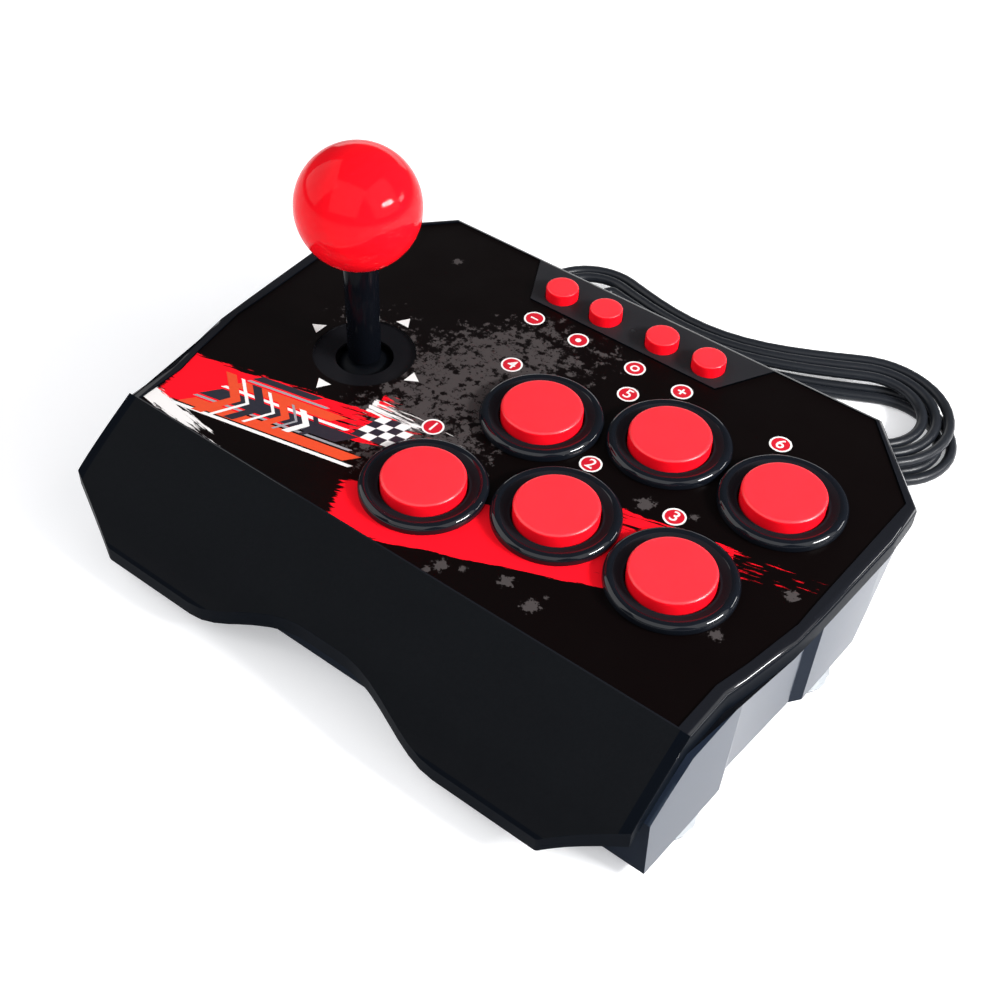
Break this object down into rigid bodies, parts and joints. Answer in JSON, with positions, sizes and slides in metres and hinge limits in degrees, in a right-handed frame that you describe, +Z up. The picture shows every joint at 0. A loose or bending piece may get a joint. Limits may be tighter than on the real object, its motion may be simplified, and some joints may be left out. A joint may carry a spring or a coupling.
{
  "type": "arcade fight stick",
  "caption": "Tabletop arcade controller with a ball-top lever, large round push buttons, a sloping panel with a palm rest, suction-cup feet and a coiled USB cord.",
  "frame": {"origin": "centre of the housing's footprint on the table, at the lips of the suction cups", "axes": "+X to the player's right, +Y from the player to the rear of the panel, +Z up"},
  "size_m": [0.2018, 0.2339, 0.1082],
  "materials": {
    "housing_gloss": "moulded black, glossy outside, fine matt grain on the palm rest",
    "printed_film": "printed film, dark with red strokes, clear gloss over it",
    "black_gloss": "polished black",
    "button_red": "satin red",
    "ball_red": "polished red",
    "clear_rubber": "clear soft vinyl",
    "clear_plastic": "clear",
    "screw_steel": "zinc plated",
    "spring_steel": "bright drawn wire",
    "lever_steel": "ground bar",
    "sleeve_black": "satin black",
    "mechanism_black": "matt black",
    "circuit_board": "green solder mask",
    "switch_black": "matt",
    "wire_grey": "flat grey cable",
    "cord_black": "satin black PVC",
    "plug_nickel": "nickel plated sheet"
  },
  "bodies": {
    "base": {"upper_shell": "housing_gloss", "lower_shell": "housing_gloss", "graphic_overlay": "printed_film", "housing_screws": "screw_steel", "cup_front_left": "clear_rubber", "cup_front_right": "clear_rubber", "cup_rear_left": "clear_rubber", "cup_rear_right": "clear_rubber", "bezel_1": "black_gloss", "bezel_2": "black_gloss", "bezel_3": "black_gloss", "bezel_4": "black_gloss", "bezel_5": "black_gloss", "bezel_6": "black_gloss", "spring_1": "spring_steel", "spring_2": "spring_steel", "spring_3": "spring_steel", "spring_4": "spring_steel", "spring_5": "spring_steel", "spring_6": "spring_steel", "bezel_nuts": "mechanism_black", "button_switches": "switch_black", "main_board": "circuit_board", "board_parts": "switch_black", "inner_screws": "screw_steel", "menu_board": "circuit_board", "menu_switches": "switch_black", "light_pipe": "clear_plastic", "centering_spring": "spring_steel", "stick_housing": "mechanism_black", "stick_board": "circuit_board", "stick_switches": "switch_black", "restrictor_gate": "mechanism_black", "inner_wiring": "wire_grey", "strain_relief": "cord_black", "usb_cord": "cord_black", "cord_hank": "cord_black", "plug_body": "cord_black", "plug_shell": "plug_nickel"},
    "gimbal": {"gimbal_ring": "mechanism_black", "gimbal_pins": "lever_steel"},
    "stick": {"ball_top": "ball_red", "lever_shaft": "lever_steel", "shaft_sleeve": "sleeve_black", "dust_dome": "sleeve_black", "pivot_pin": "lever_steel", "actuator_collar": "sleeve_black", "spring_cup": "lever_steel", "e_clip": "lever_steel"},
    "button_1": {"cap_1": "button_red"},
    "button_2": {"cap_2": "button_red"},
    "button_3": {"cap_3": "button_red"},
    "button_4": {"cap_4": "button_red"},
    "button_5": {"cap_5": "button_red"},
    "button_6": {"cap_6": "button_red"},
    "menu_1": {"menu_cap_1": "button_red"},
    "menu_2": {"menu_cap_2": "button_red"},
    "menu_3": {"menu_cap_3": "button_red"},
    "menu_4": {"menu_cap_4": "button_red"}
  },
  "joints": [
    {"name": "stick_forward_back", "type": "hinge", "parent": "base", "child": "gimbal", "pos_m": [-0.0548, 0.00748, 0.02874], "axis": [1, 0, 0], "range_deg": [-9, 9], "stiffness_Nm_per_rad": 0.4},
    {"name": "stick_left_right", "type": "hinge", "parent": "gimbal", "child": "stick", "pos_m": [-0.0548, 0.00748, 0.02874], "axis": [0, 0.999, 0.0454], "range_deg": [-9, 9], "stiffness_Nm_per_rad": 0.4, "deforming": ["centering_spring"]},
    {"name": "button_1_press", "type": "slide", "parent": "base", "child": "button_1", "axis": [0, 0.0454, -0.999], "range_m": [0, 0.0025], "stiffness_N_per_m": 250, "deforming": ["spring_1"]},
    {"name": "button_2_press", "type": "slide", "parent": "base", "child": "button_2", "axis": [0, 0.0454, -0.999], "range_m": [0, 0.0025], "stiffness_N_per_m": 250, "deforming": ["spring_2"]},
    {"name": "button_3_press", "type": "slide", "parent": "base", "child": "button_3", "axis": [0, 0.0454, -0.999], "range_m": [0, 0.0025], "stiffness_N_per_m": 250, "deforming": ["spring_3"]},
    {"name": "button_4_press", "type": "slide", "parent": "base", "child": "button_4", "axis": [0, 0.0454, -0.999], "range_m": [0, 0.0025], "stiffness_N_per_m": 250, "deforming": ["spring_4"]},
    {"name": "button_5_press", "type": "slide", "parent": "base", "child": "button_5", "axis": [0, 0.0454, -0.999], "range_m": [0, 0.0025], "stiffness_N_per_m": 250, "deforming": ["spring_5"]},
    {"name": "button_6_press", "type": "slide", "parent": "base", "child": "button_6", "axis": [0, 0.0454, -0.999], "range_m": [0, 0.0025], "stiffness_N_per_m": 250, "deforming": ["spring_6"]},
    {"name": "menu_1_press", "type": "slide", "parent": "base", "child": "menu_1", "axis": [0, 0.0454, -0.999], "range_m": [0, 0.0008], "stiffness_N_per_m": 600},
    {"name": "menu_2_press", "type": "slide", "parent": "base", "child": "menu_2", "axis": [0, 0.0454, -0.999], "range_m": [0, 0.0008], "stiffness_N_per_m": 600},
    {"name": "menu_3_press", "type": "slide", "parent": "base", "child": "menu_3", "axis": [0, 0.0454, -0.999], "range_m": [0, 0.0008], "stiffness_N_per_m": 600},
    {"name": "menu_4_press", "type": "slide", "parent": "base", "child": "menu_4", "axis": [0, 0.0454, -0.999], "range_m": [0, 0.0008], "stiffness_N_per_m": 600}
  ]
}
